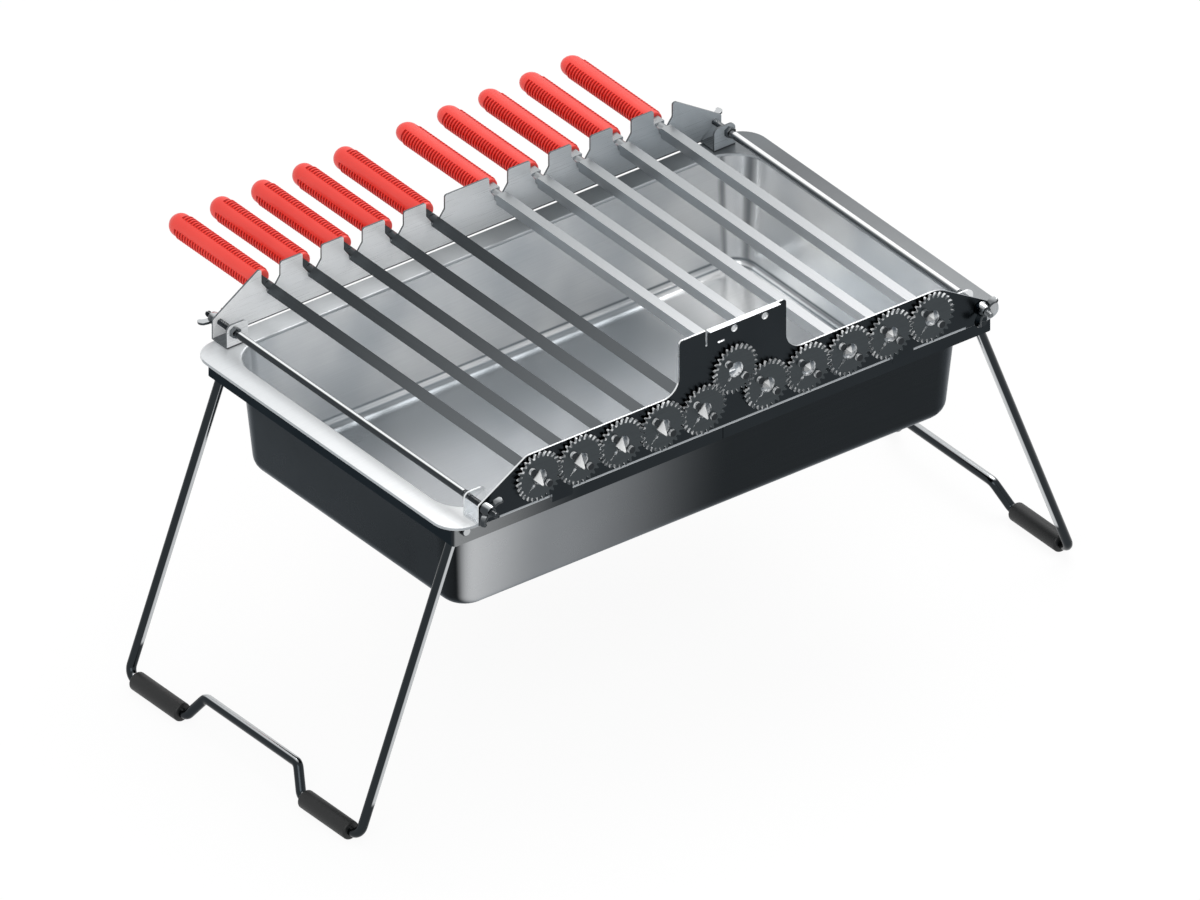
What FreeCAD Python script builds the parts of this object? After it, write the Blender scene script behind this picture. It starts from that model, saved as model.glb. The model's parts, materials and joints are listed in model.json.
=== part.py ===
import FreeCAD, Part
import math
import os

# Tabletop kebab grill: a deep steel pan hung in a folding leg frame, with a rack of turning skewers
# on its rim.
# Millimetres, +Z up, floor at Z = 0. X runs along the pan, -Y is the gear side, +Y the handle side.

V = FreeCAD.Vector

# Pan
panLength = 530.0
panWidth = 328.0
panDepth = 98.0
panSheet = 1.2
rimFlat = 19.5
rimCorner = 22.0
rimLip = 2.0
rimEdgeRound = 1.0
panDraft = 5.8
panBottomFillet = 13.5
shoulderFillet = 2.0
wallCorner = 30.0

# Leg frame
bandInset = 9.8
bandHeight = 19.0
bandSheet = 1.5
bandCorner = 3.5
bandSeam = 0.6
lockSlotLength = 7.0
lockSlotHeight = 3.0
lockSlotFromEnd = 25.0

# Wire legs
wireDia = 8.0
legLength = 260.0
legSplay = 20.7
legStopGap = 0.1
pivotDrop = 8.5
legSideGap = 4.7
stubStick = 3.0
pivotBend = 6.0
footBend = 9.0
handRise = 21.0
handLength = 115.0
handSlope = 14.0
handBend = 7.0
sleeveDia = 15.5
sleeveFromCorner = 1.0
sleeveEndRound = 1.5
pivotPlay = 0.05

# Rack plates
plateSheet = 1.5
plateRimGap = 1.0
plateLift = 4.0
plateTop = 45.0
rodToPlateEnd = 6.5
footWidth = 20.0
footDepth = 17.5
footTabHeight = 20.0
footTabCorner = 5.0
endEdgeHeight = 17.5
endEdgeRound = 2.0
gearEndSlope = 31.0
gearEndRoundRight = 25.0
gearEndRoundLeft = 8.0
combEndLand = 1.5
combEndRound = 1.0
hookCentre = 161.5
hookWidth = 19.6
hookDepth = 9.5
hookCorner = 1.0
towerWidth = 101.3
towerTop = 91.7
towerFootFillet = 15.0
towerTopRound = 3.0
motorLedgeLeft = -24.2
motorLedgeLength = 67.0
motorLedgeDepth = 4.0
motorSlitLength = 13.6
motorSlitWidth = 1.4
motorHoleDia = 6.0
motorHoleSpacing = 29.0
motorHoleDrop = 7.5
motorHoleMiddle = 16.0
motorSlotX = -11.0
motorSlotDrop = 14.2
motorSlotLength = 6.5
motorSlotHeight = 1.8

# Gear train
gearTeeth = 26
gearModule = 1.5
gearBacklash = 0.45
gearRootDepth = 2.0
gearRootFlare = 0.01
pressureAngle = 20.0
gearSheet = 2.3
gearPlateGap = 1.9
axisHeight = 25.0
driveRise = 25.0
skewersPerSide = 5
lightHoleDia = 6.0
lightHoleRadius = 10.8
catchHoleSide = 2.8
catchHoleRadius = 9.0
catchSlitWidth = 0.7
catchSlitEnd = 15.7
lightHoleAngle = 135.0
catchAngle = 225.0

# Gear hubs
hubBoreDia = 13.0
hubTubeDia = 16.0
hubPlay = 0.08
hubSidePlay = 0.2
hubShoulderDia = 19.0
hubCollarDia = 20.0
hubWeb = 1.5

# Skewers
bladeFlange = 8.8
bladeSheet = 1.2
bladePlay = 0.15
bladePointLength = 12.0
bladeTurnLeft = -45.0
bladeTurnRight = 0.0
tipAheadRight = 7.0
tipAheadLeft = 11.0
neckDia = 8.4
neckPlay = 0.08
neckAhead = 3.0
neckBehind = 3.0
shankInBlade = 9.0
shankNoseDia = 3.0
blockLength = 8.5
tangDia = 5.0
tangLength = 60.0
handleDia = 20.4
handleLength = 109.6
handleFlat = 0.75
handleMouthRound = 1.5

# Comb notches
notchWidth = 18.0
notchStraight = 12.0
notchThroat = 18.5
notchTopRound = 2.0
notchStepRound = 3.0
notchThroatRound = 1.5

# Tie rods and their nuts
rodDia = 6.0
studDia = 5.0
rodFromPanEnd = 30.5
rodHeight = 13.7
studBeyondPlate = 14.5
studChamfer = 0.8
nutAcross = 8.0
nutHeight = 4.0
rodNutGap = 3.0
rodEndChamfer = 0.45
wingHubDia = 11.5
wingHubTopDia = 9.0
wingHubHeight = 8.0
wingSpan = 27.0
wingHeight = 11.0
wingThick = 2.2
wingTipWidth = 5.5
wingTipRound = 2.0
wingRootFrom = 1.5
wingRootTo = 7.5
wingShoulderIn = 2.5
wingShoulderFrom = 3.0
wingPlay = 0.05
wingFaceGap = 0.1
wingRestFront = 45.0
wingRestRear = 5.0

# How far cutting tools run past the sheet they cut
past = 1.0

# Levels and places worked out from the sizes above
pivotZ = sleeveDia / 2 + legLength * math.cos(math.radians(legSplay))
rimZ = pivotZ + pivotDrop
axisZ = rimZ + axisHeight
rodZ = rimZ + rodHeight
halfLength = panLength / 2
halfWidth = panWidth / 2
plateInner = halfWidth + plateRimGap
plateOuter = plateInner + plateSheet
rodX = halfLength - rodFromPanEnd
plateEndX = rodX + rodToPlateEnd
pitchRadius = gearTeeth * gearModule / 2
centreDistance = 2 * pitchRadius
driveHalfSpan = math.sqrt(centreDistance ** 2 - driveRise ** 2)
driveZ = axisZ + driveRise
gearBack = -(plateOuter + gearPlateGap)
gearFront = gearBack - gearSheet
collarFront = -(plateInner - hubSidePlay)
collarBack = collarFront + hubWeb
neckEnd = plateOuter + neckBehind
blockEnd = neckEnd + blockLength
handleEnd = blockEnd + handleLength
studEnd = plateOuter + studBeyondPlate
frontReach = max(studEnd, tipAheadLeft - gearFront)
shiftY = (frontReach - handleEnd) / 2

gearPlaces = []
for i in range(skewersPerSide):
    gearPlaces.append((-driveHalfSpan - centreDistance * (skewersPerSide - 1 - i), axisZ))
gearPlaces.append((0.0, driveZ))
for i in range(skewersPerSide):
    gearPlaces.append((driveHalfSpan + centreDistance * i, axisZ))
driveIndex = skewersPerSide


def save(shape, name):
    moved = shape.copy()
    moved.translate(V(0, shiftY, 0))
    if not moved.isValid():
        print("not valid:", name)
    moved.exportStep("parts/" + name + ".step")


def lineEdge(a, b):
    return Part.LineSegment(a, b).toShape()


def roundedRectangle(length, width, radius, z):
    x = length / 2
    y = width / 2
    k = radius * (1 - math.sqrt(0.5))
    edges = [
        lineEdge(V(-x + radius, -y, z), V(x - radius, -y, z)),
        Part.Arc(V(x - radius, -y, z), V(x - k, -y + k, z), V(x, -y + radius, z)).toShape(),
        lineEdge(V(x, -y + radius, z), V(x, y - radius, z)),
        Part.Arc(V(x, y - radius, z), V(x - k, y - k, z), V(x - radius, y, z)).toShape(),
        lineEdge(V(x - radius, y, z), V(-x + radius, y, z)),
        Part.Arc(V(-x + radius, y, z), V(-x + k, y - k, z), V(-x, y - radius, z)).toShape(),
        lineEdge(V(-x, y - radius, z), V(-x, -y + radius, z)),
        Part.Arc(V(-x, -y + radius, z), V(-x + k, -y + k, z), V(-x + radius, -y, z)).toShape(),
    ]
    return Part.Wire(edges)


def roundedPrism(length, width, radius, z, height):
    face = Part.Face(roundedRectangle(length, width, radius, z))
    return face.extrude(V(0, 0, height))


# Lines through the points, with an arc of its own radius at each corner
def roundedEdges(points, radii, closed):
    count = len(points)
    starts = []
    arcs = []
    for i in range(count):
        if not closed and i in (0, count - 1):
            starts.append((points[i], points[i]))
            arcs.append(None)
            continue
        here = points[i]
        back = (points[i - 1] - here).normalize()
        ahead = (points[(i + 1) % count] - here).normalize()
        half = back.getAngle(ahead) / 2
        radius = radii[i]
        if radius <= 0:
            starts.append((here, here))
            arcs.append(None)
            continue
        reach = radius / math.tan(half)
        first = here + back * reach
        last = here + ahead * reach
        middle = here + (back + ahead).normalize() * (radius / math.sin(half) - radius)
        starts.append((first, last))
        arcs.append(Part.Arc(first, middle, last).toShape())
    edges = []
    for i in range(count if closed else count - 1):
        after = (i + 1) % count
        if starts[i][1].distanceToPoint(starts[after][0]) > 1e-6:
            edges.append(lineEdge(starts[i][1], starts[after][0]))
        if arcs[after] is not None:
            edges.append(arcs[after])
    return edges


# A sheet standing in the XZ plane, from an outline of (x, z, corner radius)
def platePrism(outline, yFront, thickness):
    points = [V(x, yFront, z) for x, z, r in outline]
    wire = Part.Wire(roundedEdges(points, [r for x, z, r in outline], True))
    return Part.Face(wire).extrude(V(0, thickness, 0))


def rodY(radius, x, z, y0, y1):
    return Part.makeCylinder(radius, y1 - y0, V(x, y0, z), V(0, 1, 0))


def circleEdges(shape):
    return [e for e in shape.Edges if e.Curve.TypeId == "Part::GeomCircle"]


def boxAt(x0, x1, y0, y1, z0, z1):
    return Part.makeBox(x1 - x0, y1 - y0, z1 - z0, V(x0, y0, z0))


# Pan: drawn box with a draft, a flat rim and a lip turned down round its edge
def makePan():
    wallTop = panLength - 2 * rimFlat
    wallTopWidth = panWidth - 2 * rimFlat
    narrowing = 2 * panDepth * math.tan(math.radians(panDraft))
    outerTop = roundedRectangle(wallTop, wallTopWidth, wallCorner, rimZ - panSheet)
    outerBottom = roundedRectangle(
        wallTop - narrowing, wallTopWidth - narrowing, wallCorner, rimZ - panDepth)
    outer = Part.makeLoft([outerTop, outerBottom], True, True)
    inset = 2 * panSheet
    innerTop = roundedRectangle(wallTop - inset, wallTopWidth - inset, wallCorner - panSheet, rimZ)
    innerBottom = roundedRectangle(
        wallTop - narrowing - inset, wallTopWidth - narrowing - inset,
        wallCorner - panSheet, rimZ - panDepth + panSheet)
    inner = Part.makeLoft([innerTop, innerBottom], True, True)

    def levelEdges(shape, z):
        return [e for e in shape.Edges if max(abs(e.BoundBox.ZMin - z), abs(e.BoundBox.ZMax - z)) < 0.01]

    outer = outer.makeFillet(panBottomFillet, levelEdges(outer, rimZ - panDepth))
    inner = inner.makeFillet(panBottomFillet - panSheet, levelEdges(inner, rimZ - panDepth + panSheet))
    flange = roundedPrism(panLength, panWidth, rimCorner, rimZ - panSheet, panSheet)
    lipOuter = roundedPrism(panLength, panWidth, rimCorner, rimZ - rimLip, rimLip)
    lipInner = roundedPrism(
        panLength - 2 * panSheet, panWidth - 2 * panSheet, rimCorner - panSheet, rimZ - rimLip, rimLip)
    pan = outer.fuse(flange).fuse(lipOuter.cut(lipInner)).cut(inner).removeSplitter()
    rimEdges = levelEdges(pan, rimZ)
    wallReach = wallTop / 2 + 1
    lipEdges = [e for e in rimEdges if max(abs(e.BoundBox.XMax), abs(e.BoundBox.XMin)) > wallReach
                or max(abs(e.BoundBox.YMax), abs(e.BoundBox.YMin)) > wallTopWidth / 2 + 1]
    mouthEdges = [e for e in rimEdges if not any(e.isSame(k) for k in lipEdges)]
    pan = pan.makeFillet(rimEdgeRound, lipEdges)
    mouth = [e for e in pan.Edges if any(e.BoundBox.Center.distanceToPoint(k.BoundBox.Center) < 0.01
                                         and abs(e.Length - k.Length) < 0.01 for k in mouthEdges)]
    return pan.makeFillet(shoulderFillet, mouth)


# Folding frame: a bent sheet band round the pan under its rim, butted at the front
bandLength = panLength - 2 * bandInset
bandWidth = panWidth - 2 * bandInset
bandTop = rimZ - panSheet
stopDrop = pivotZ - bandTop + bandHeight
splayed = math.radians(legSplay)
legStopReach = stopDrop * math.tan(splayed) + wireDia / 2 / math.cos(splayed)
legX = bandLength / 2 - bandSheet - legStopGap - legStopReach
legY = bandWidth / 2 - bandSheet - legSideGap - wireDia / 2


def makeBand():
    outer = roundedPrism(bandLength, bandWidth, bandCorner, bandTop - bandHeight, bandHeight)
    inner = roundedPrism(
        bandLength - 2 * bandSheet, bandWidth - 2 * bandSheet, bandCorner - bandSheet,
        bandTop - bandHeight, bandHeight)
    band = outer.cut(inner)
    seam = boxAt(-bandSeam / 2, bandSeam / 2, -bandWidth, 0, bandTop - bandHeight, bandTop)
    band = band.cut(seam)
    for x in (-legX, legX):
        band = band.cut(rodY(wireDia / 2 + pivotPlay, x, pivotZ, -bandWidth, bandWidth))
    for y in (-1, 1):
        middle = y * (bandWidth / 2 - lockSlotFromEnd)
        reach = (lockSlotLength - lockSlotHeight) / 2
        slot = boxAt(
            -bandLength, bandLength, middle - reach, middle + reach,
            pivotZ - lockSlotHeight / 2, pivotZ + lockSlotHeight / 2)
        for place in (middle - reach, middle + reach):
            start = V(-bandLength, place, pivotZ)
            slot = slot.fuse(Part.makeCylinder(lockSlotHeight / 2, 2 * bandLength, start, V(1, 0, 0)))
        band = band.cut(slot)
    return band


# Wire leg: one rod bent to a U, with its ends turned out through the band and a raised grip in its foot bar
# Turns a leg drawn hanging straight down from the pivot out to its open place
def legFrame(side):
    return FreeCAD.Placement(V(side * legX, 0, pivotZ), FreeCAD.Rotation(V(0, 1, 0), -side * legSplay))


def makeLeg(side):
    stub = bandWidth / 2 + stubStick
    half = handLength / 2
    points = [
        V(0, -stub, 0), V(0, -legY, 0), V(0, -legY, -legLength), V(0, -half - handSlope, -legLength),
        V(0, -half, -legLength + handRise), V(0, half, -legLength + handRise),
        V(0, half + handSlope, -legLength), V(0, legY, -legLength), V(0, legY, 0), V(0, stub, 0),
    ]
    radii = [0, pivotBend, footBend, handBend, handBend, handBend, handBend, footBend, pivotBend, 0]
    path = Part.Wire(roundedEdges(points, radii, False))
    ring = Part.Wire(Part.makeCircle(wireDia / 2, points[0], V(0, 1, 0)))
    leg = path.makePipeShell([ring], True, False)
    leg.Placement = legFrame(side)
    return leg


def makeSleeve(side, end):
    near = legY - footBend - sleeveFromCorner
    handReach = handLength / 2 + handSlope + handBend * math.tan(math.atan2(handRise, handSlope) / 2)
    sleeveLength = near - handReach - sleeveFromCorner
    y0 = near - sleeveLength if end > 0 else -near
    sleeve = rodY(sleeveDia / 2, 0, -legLength, y0, y0 + sleeveLength)
    sleeve = sleeve.makeFillet(sleeveEndRound, circleEdges(sleeve))
    sleeve = sleeve.cut(rodY(wireDia / 2, 0, -legLength, y0 - past, y0 + sleeveLength + past))
    sleeve.Placement = legFrame(side)
    return sleeve


# Sheet ends: a foot folded in over the rim and a tab folded up from it.
# side is -1 at the gear side and 1 at the handle side, end is -1 or 1 along X.
def makeFoot(side, end):
    x0 = plateEndX - footWidth if end > 0 else -plateEndX
    x1 = x0 + footWidth
    inner = plateInner - footDepth
    y0, y1 = sorted((side * inner, side * plateOuter))
    foot = boxAt(x0, x1, y0, y1, rimZ, rimZ + plateSheet)
    t0, t1 = sorted((side * inner, side * (inner + plateSheet)))
    outline = [
        (x0, rimZ, 0), (x1, rimZ, 0), (x1, rimZ + footTabHeight, footTabCorner),
        (x0, rimZ + footTabHeight, footTabCorner),
    ]
    tab = platePrism(outline, t0, plateSheet)
    return foot.fuse(tab)


def plateEnds(plate, side):
    for end in (-1, 1):
        plate = plate.fuse(makeFoot(side, end))
    for end in (-1, 1):
        plate = plate.cut(rodY(studDia / 2 + wingPlay, end * rodX, rodZ, -studEnd, studEnd))
    return plate.removeSplitter()


# Outline points of one end, from the bottom edge out, up and in along the slope to the top edge
def plateOutlineEnd(end, slopeX, slopeRound):
    innerFootX = plateEndX - footWidth
    points = [
        (innerFootX, rimZ + plateLift, 0), (innerFootX, rimZ, 0), (plateEndX, rimZ, 0),
        (plateEndX, rimZ + endEdgeHeight, endEdgeRound), (slopeX, rimZ + plateTop, slopeRound),
    ]
    return points if end > 0 else [(-x, z, r) for x, z, r in reversed(points)]


def makeGearPlate():
    low = rimZ + plateLift
    top = rimZ + plateTop
    slopeX = plateEndX - (plateTop - endEdgeHeight) / math.tan(math.radians(gearEndSlope))
    right = plateOutlineEnd(1, slopeX, gearEndRoundRight)
    left = plateOutlineEnd(-1, slopeX, gearEndRoundLeft)
    hook = []
    for end in (-1, 1):
        middle = end * hookCentre
        hook += [
            (middle - hookWidth / 2, low, 0), (middle - hookWidth / 2, low - hookDepth, hookCorner),
            (middle + hookWidth / 2, low - hookDepth, hookCorner), (middle + hookWidth / 2, low, 0),
        ]
    half = towerWidth / 2
    tower = [
        (half, top, towerFootFillet), (half, rimZ + towerTop, towerTopRound),
        (-half, rimZ + towerTop, towerTopRound), (-half, top, towerFootFillet),
    ]
    plate = platePrism(hook + right + tower + left, -plateOuter, plateSheet)
    ledgeRight = motorLedgeLeft + motorLedgeLength
    towerZ = rimZ + towerTop
    ledge = boxAt(
        motorLedgeLeft, ledgeRight, -plateOuter - motorLedgeDepth, -plateInner, towerZ - plateSheet, towerZ)
    plate = plate.fuse(ledge)
    slit = boxAt(
        motorLedgeLeft - motorSlitWidth, motorLedgeLeft, -plateOuter - past, -plateInner + past,
        towerZ - motorSlitLength, towerZ + past)
    plate = plate.cut(slit)
    slotReach = (motorSlotLength - motorSlotHeight) / 2
    slotZ = towerZ - motorSlotDrop
    for x in (motorSlotX - slotReach, motorSlotX + slotReach):
        plate = plate.cut(rodY(motorSlotHeight / 2, x, slotZ, -plateOuter - past, -plateInner + past))
    plate = plate.cut(boxAt(
        motorSlotX - slotReach, motorSlotX + slotReach, -plateOuter - past, -plateInner + past,
        slotZ - motorSlotHeight / 2, slotZ + motorSlotHeight / 2))
    for k in (-0.5, 0.5):
        x = motorHoleMiddle + k * motorHoleSpacing
        z = towerZ - motorHoleDrop
        plate = plate.cut(rodY(motorHoleDia / 2, x, z, -plateOuter - past, -plateInner + past))
    for x, z in gearPlaces:
        plate = plate.cut(rodY(hubTubeDia / 2 + hubPlay, x, z, -plateOuter - past, -plateInner + past))
    return plateEnds(plate, -1)


# Points of one comb notch from left to right: mouth, throat and a round seat under the skewer's neck
def notchOutline(x):
    top = rimZ + plateTop
    half = notchWidth / 2
    seat = neckDia / 2 + neckPlay
    seatRound = seat - 0.01
    return [
        (x - half, top, notchTopRound), (x - half, top - notchStraight, notchStepRound),
        (x - seat, top - notchThroat, notchThroatRound), (x - seat, axisZ - seat, seatRound),
        (x + seat, axisZ - seat, seatRound), (x + seat, top - notchThroat, notchThroatRound),
        (x + half, top - notchStraight, notchStepRound), (x + half, top, notchTopRound),
    ]


def makeCombPlate():
    slopeX = gearPlaces[-1][0] + notchWidth / 2 + notchTopRound + combEndLand
    right = plateOutlineEnd(1, slopeX, combEndRound)
    left = plateOutlineEnd(-1, slopeX, combEndRound)
    notches = []
    for index, (x, z) in enumerate(gearPlaces):
        if index != driveIndex:
            notches += notchOutline(x)
    notches = [(x, z, r) for x, z, r in reversed(notches)]
    comb = platePrism(right + notches + left, plateInner, plateSheet)
    return plateEnds(comb, 1)


# Tie rod: a thick middle turned down to a stud at each end
def makeTieRod(end):
    x = end * rodX
    step = plateInner - footDepth - nutHeight - rodNutGap
    rod = rodY(rodDia / 2, x, rodZ, -step, step)
    rod = rod.makeChamfer(rodEndChamfer, circleEdges(rod))
    stud = rodY(studDia / 2, x, rodZ, -studEnd, studEnd)
    stud = stud.makeChamfer(studChamfer, circleEdges(stud))
    return rod.fuse(stud)


def makeHexNut(end, side):
    x = end * rodX
    seat = side * (plateInner - footDepth)
    points = []
    corner = nutAcross / 2 / math.cos(math.radians(30))
    y0 = min(seat, seat - side * nutHeight)
    for k in range(6):
        angle = math.radians(60 * k + 30)
        points.append(V(x + corner * math.cos(angle), y0, rodZ + corner * math.sin(angle)))
    wire = Part.makePolygon(points + [points[0]])
    nut = Part.Face(wire).extrude(V(0, nutHeight, 0))
    return nut.cut(rodY(studDia / 2, x, rodZ, y0 - past, y0 + nutHeight + past))


# Wing nut: a tapered hub with two upright ears, drawn facing -Y
def makeWingNut(end, side):
    hub = Part.makeCone(wingHubDia / 2, wingHubTopDia / 2, wingHubHeight, V(0, 0, 0), V(0, -1, 0))
    inner = wingHubTopDia / 2 - past
    ear = [
        V(inner, -wingRootFrom, 0), V(wingSpan / 2 - wingShoulderIn, -wingShoulderFrom, 0),
        V(wingSpan / 2, -wingHeight, 0), V(wingSpan / 2 - wingTipWidth, -wingHeight, 0),
        V(inner, -wingRootTo, 0),
    ]
    edges = roundedEdges(ear, [0, wingTipRound, wingTipRound, wingTipRound, 0], True)
    face = Part.Face(Part.Wire(edges))
    wing = face.extrude(V(0, 0, wingThick))
    wing.translate(V(0, 0, -wingThick / 2))
    other = wing.copy()
    other.rotate(V(0, 0, 0), V(0, 1, 0), 180)
    nut = hub.fuse(wing).fuse(other)
    nut = nut.cut(rodY(studDia / 2 + wingPlay, 0, 0, -wingHeight - past, past))
    if side > 0:
        nut.rotate(V(0, 0, 0), V(0, 0, 1), 180)
    nut.rotate(V(0, 0, 0), V(0, 1, 0), -wingRestFront if side < 0 else -wingRestRear)
    nut.translate(V(end * rodX, side * (plateOuter + wingFaceGap), rodZ))
    return nut


# Gear train: equal spur gears with involute flanks, each phased to mesh with the one before it
toothAngle = 2 * math.pi / gearTeeth
pressure = math.radians(pressureAngle)


def involute(angle):
    return math.tan(angle) - angle


# Half the tooth's angular thickness at a radius
def flankAngle(radius):
    baseRadius = pitchRadius * math.cos(pressure)
    atPitch = (math.pi * gearModule / 2 - gearBacklash / 2) / (2 * pitchRadius)
    slope = math.acos(min(1.0, baseRadius / radius))
    return atPitch + involute(pressure) - involute(slope)


# Angle of one tooth of each gear, so that every tooth stands opposite its neighbour's gap
def gearPhases():
    phases = [toothAngle / 4]
    for before, after in zip(gearPlaces, gearPlaces[1:]):
        line = math.atan2(after[1] - before[1], after[0] - before[0])
        phases.append((2 * line + math.pi - phases[-1] - toothAngle / 2) % toothAngle)
    return phases


def makeGear(x, z, phase):
    tipRadius = pitchRadius + gearModule
    rootRadius = pitchRadius - gearRootDepth
    points = []
    for k in range(gearTeeth):
        middle = phase + k * toothAngle
        flank = [(r, flankAngle(r) + (gearRootFlare if r == rootRadius else 0))
                 for r in (rootRadius, pitchRadius, tipRadius)]
        sides = [(r, middle - a) for r, a in flank] + [(r, middle + a) for r, a in reversed(flank)]
        points += [V(x + r * math.cos(a), gearFront, z + r * math.sin(a)) for r, a in sides]
    disc = Part.Face(Part.makePolygon(points + [points[0]])).extrude(V(0, gearSheet, 0))
    disc = disc.cut(rodY(hubBoreDia / 2, x, z, gearFront - past, gearBack + past))
    for angle in (lightHoleAngle, lightHoleAngle + 180):
        hx = x + lightHoleRadius * math.cos(math.radians(angle))
        hz = z + lightHoleRadius * math.sin(math.radians(angle))
        disc = disc.cut(rodY(lightHoleDia / 2, hx, hz, gearFront - past, gearBack + past))
    slit = boxAt(
        hubBoreDia / 2 - past, catchSlitEnd, gearFront - past, gearBack + past,
        -catchSlitWidth / 2, catchSlitWidth / 2)
    side = catchHoleSide / 2
    window = boxAt(
        catchHoleRadius - side, catchHoleRadius + side, gearFront - past, gearBack + past, -side, side)
    slit = slit.fuse(window)
    slit.rotate(V(0, 0, 0), V(0, 1, 0), -catchAngle)
    slit.translate(V(x, 0, z))
    return disc.cut(slit)


# Flanged bush welded to the gear's back, turning in the plate, with a square drive hole in its closed end
def makeHub(x, z, turn):
    bush = rodY(hubTubeDia / 2, x, z, gearBack, collarBack)
    bush = bush.fuse(rodY(hubShoulderDia / 2, x, z, gearBack, -plateOuter - hubSidePlay))
    bush = bush.fuse(rodY(hubCollarDia / 2, x, z, collarFront, collarBack))
    bush = bush.cut(rodY(hubBoreDia / 2, x, z, gearBack - past, collarFront))
    half = bladeFlange / 2 + bladePlay
    square = boxAt(-half, half, collarFront - past, collarBack + past, -half, half)
    square.rotate(V(0, 0, 0), V(0, 1, 0), turn)
    square.translate(V(x, 0, z))
    return bush.cut(square)


# Skewer: a folded V blade with a sheared point, a round neck for the comb and a tang in its handle
def makeBlade(x, z, turn, tipAhead):
    half = bladeFlange / 2
    tip = gearFront - tipAhead
    root = plateInner - neckAhead
    profile = [
        V(-half, tip, half), V(half, tip, half), V(half, tip, half - bladeSheet),
        V(-half + bladeSheet, tip, half - bladeSheet), V(-half + bladeSheet, tip, -half),
        V(-half, tip, -half),
    ]
    blade = Part.Face(Part.makePolygon(profile + [profile[0]])).extrude(V(0, root - tip, 0))
    wide = bladeFlange
    pointTop = [
        V(-half, tip, -wide), V(-half + bladeSheet, tip, -wide), V(half, tip + bladePointLength, -wide),
        V(half, root, -wide), V(-half, root, -wide),
    ]
    pointSide = [
        V(-wide, tip, half), V(-wide, tip, half - bladeSheet), V(-wide, tip + bladePointLength, -half),
        V(-wide, root, -half), V(-wide, root, half),
    ]
    blade = blade.common(Part.Face(Part.makePolygon(pointTop + [pointTop[0]])).extrude(V(0, 0, 2 * wide)))
    blade = blade.common(Part.Face(Part.makePolygon(pointSide + [pointSide[0]])).extrude(V(2 * wide, 0, 0)))
    shank = rodY(neckDia / 2, 0, 0, root - shankInBlade / 2, neckEnd)
    noseStart = V(0, root - shankInBlade, 0)
    nose = Part.makeCone(shankNoseDia / 2, neckDia / 2, shankInBlade / 2, noseStart, V(0, 1, 0))
    envelope = boxAt(-half, half, root - shankInBlade, neckEnd, -half, half)
    block = boxAt(-half, half, neckEnd, blockEnd, -half, half)
    tang = rodY(tangDia / 2, 0, 0, blockEnd, blockEnd + tangLength)
    skewer = blade.fuse([shank.common(envelope), nose, block, tang]).removeSplitter()
    skewer.rotate(V(0, 0, 0), V(0, 1, 0), turn)
    skewer.translate(V(x, 0, z))
    return skewer


def makeHandle(x, z, turn):
    radius = handleDia / 2
    straight = handleLength - radius
    body = rodY(radius, 0, 0, blockEnd, blockEnd + straight)
    mouth = [e for e in circleEdges(body) if abs(e.BoundBox.YMax - blockEnd) < 0.01]
    body = body.makeFillet(handleMouthRound, mouth)
    dome = Part.makeSphere(radius, V(0, blockEnd + straight, 0))
    handle = body.fuse(dome)
    for side in (-1, 1):
        low, high = sorted((side * (radius - handleFlat), side * (radius + past)))
        flat = boxAt(-radius, radius, blockEnd - past, blockEnd + handleLength + past, low, high)
        handle = handle.cut(flat)
    handle = handle.cut(rodY(tangDia / 2, 0, 0, blockEnd - past, blockEnd + tangLength))
    handle = handle.removeSplitter()
    handle.rotate(V(0, 0, 0), V(0, 1, 0), turn)
    handle.translate(V(x, 0, z))
    return handle


os.makedirs("parts", exist_ok=True)
save(makePan(), "pan")
save(makeBand(), "frame_band")
save(makeGearPlate(), "front_gear_plate")
save(makeCombPlate(), "rear_comb_plate")
nuts = []
for end, endName in ((-1, "left"), (1, "right")):
    save(makeTieRod(end), "tie_rod_" + endName)
    save(makeLeg(end), "wire_leg_" + endName)
    for side, sideName in ((-1, "front"), (1, "rear")):
        save(makeWingNut(end, side), "wing_nut_" + sideName + "_" + endName)
        save(makeSleeve(end, side), "foot_sleeve_" + sideName + "_" + endName)
        nuts.append(makeHexNut(end, side))
save(Part.makeCompound(nuts), "hex_nuts")

phases = gearPhases()
for index, (x, z) in enumerate(gearPlaces):
    label = str(index + 1)
    leftGroup = index < driveIndex
    turn = bladeTurnLeft if leftGroup else bladeTurnRight
    save(makeGear(x, z, phases[index]), "gear_" + label)
    save(makeHub(x, z, turn), "hub_" + label)
    if index != driveIndex:
        ahead = tipAheadLeft if leftGroup else tipAheadRight
        save(makeBlade(x, z, turn, ahead), "skewer_blade_" + label)
        save(makeHandle(x, z, turn), "skewer_handle_" + label)
print("rim", round(rimZ, 3), "axis", round(axisZ, 3), "shift", round(shiftY, 3))
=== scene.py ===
import bpy
import bmesh
import json
import math
from mathutils import Matrix, Vector


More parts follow.
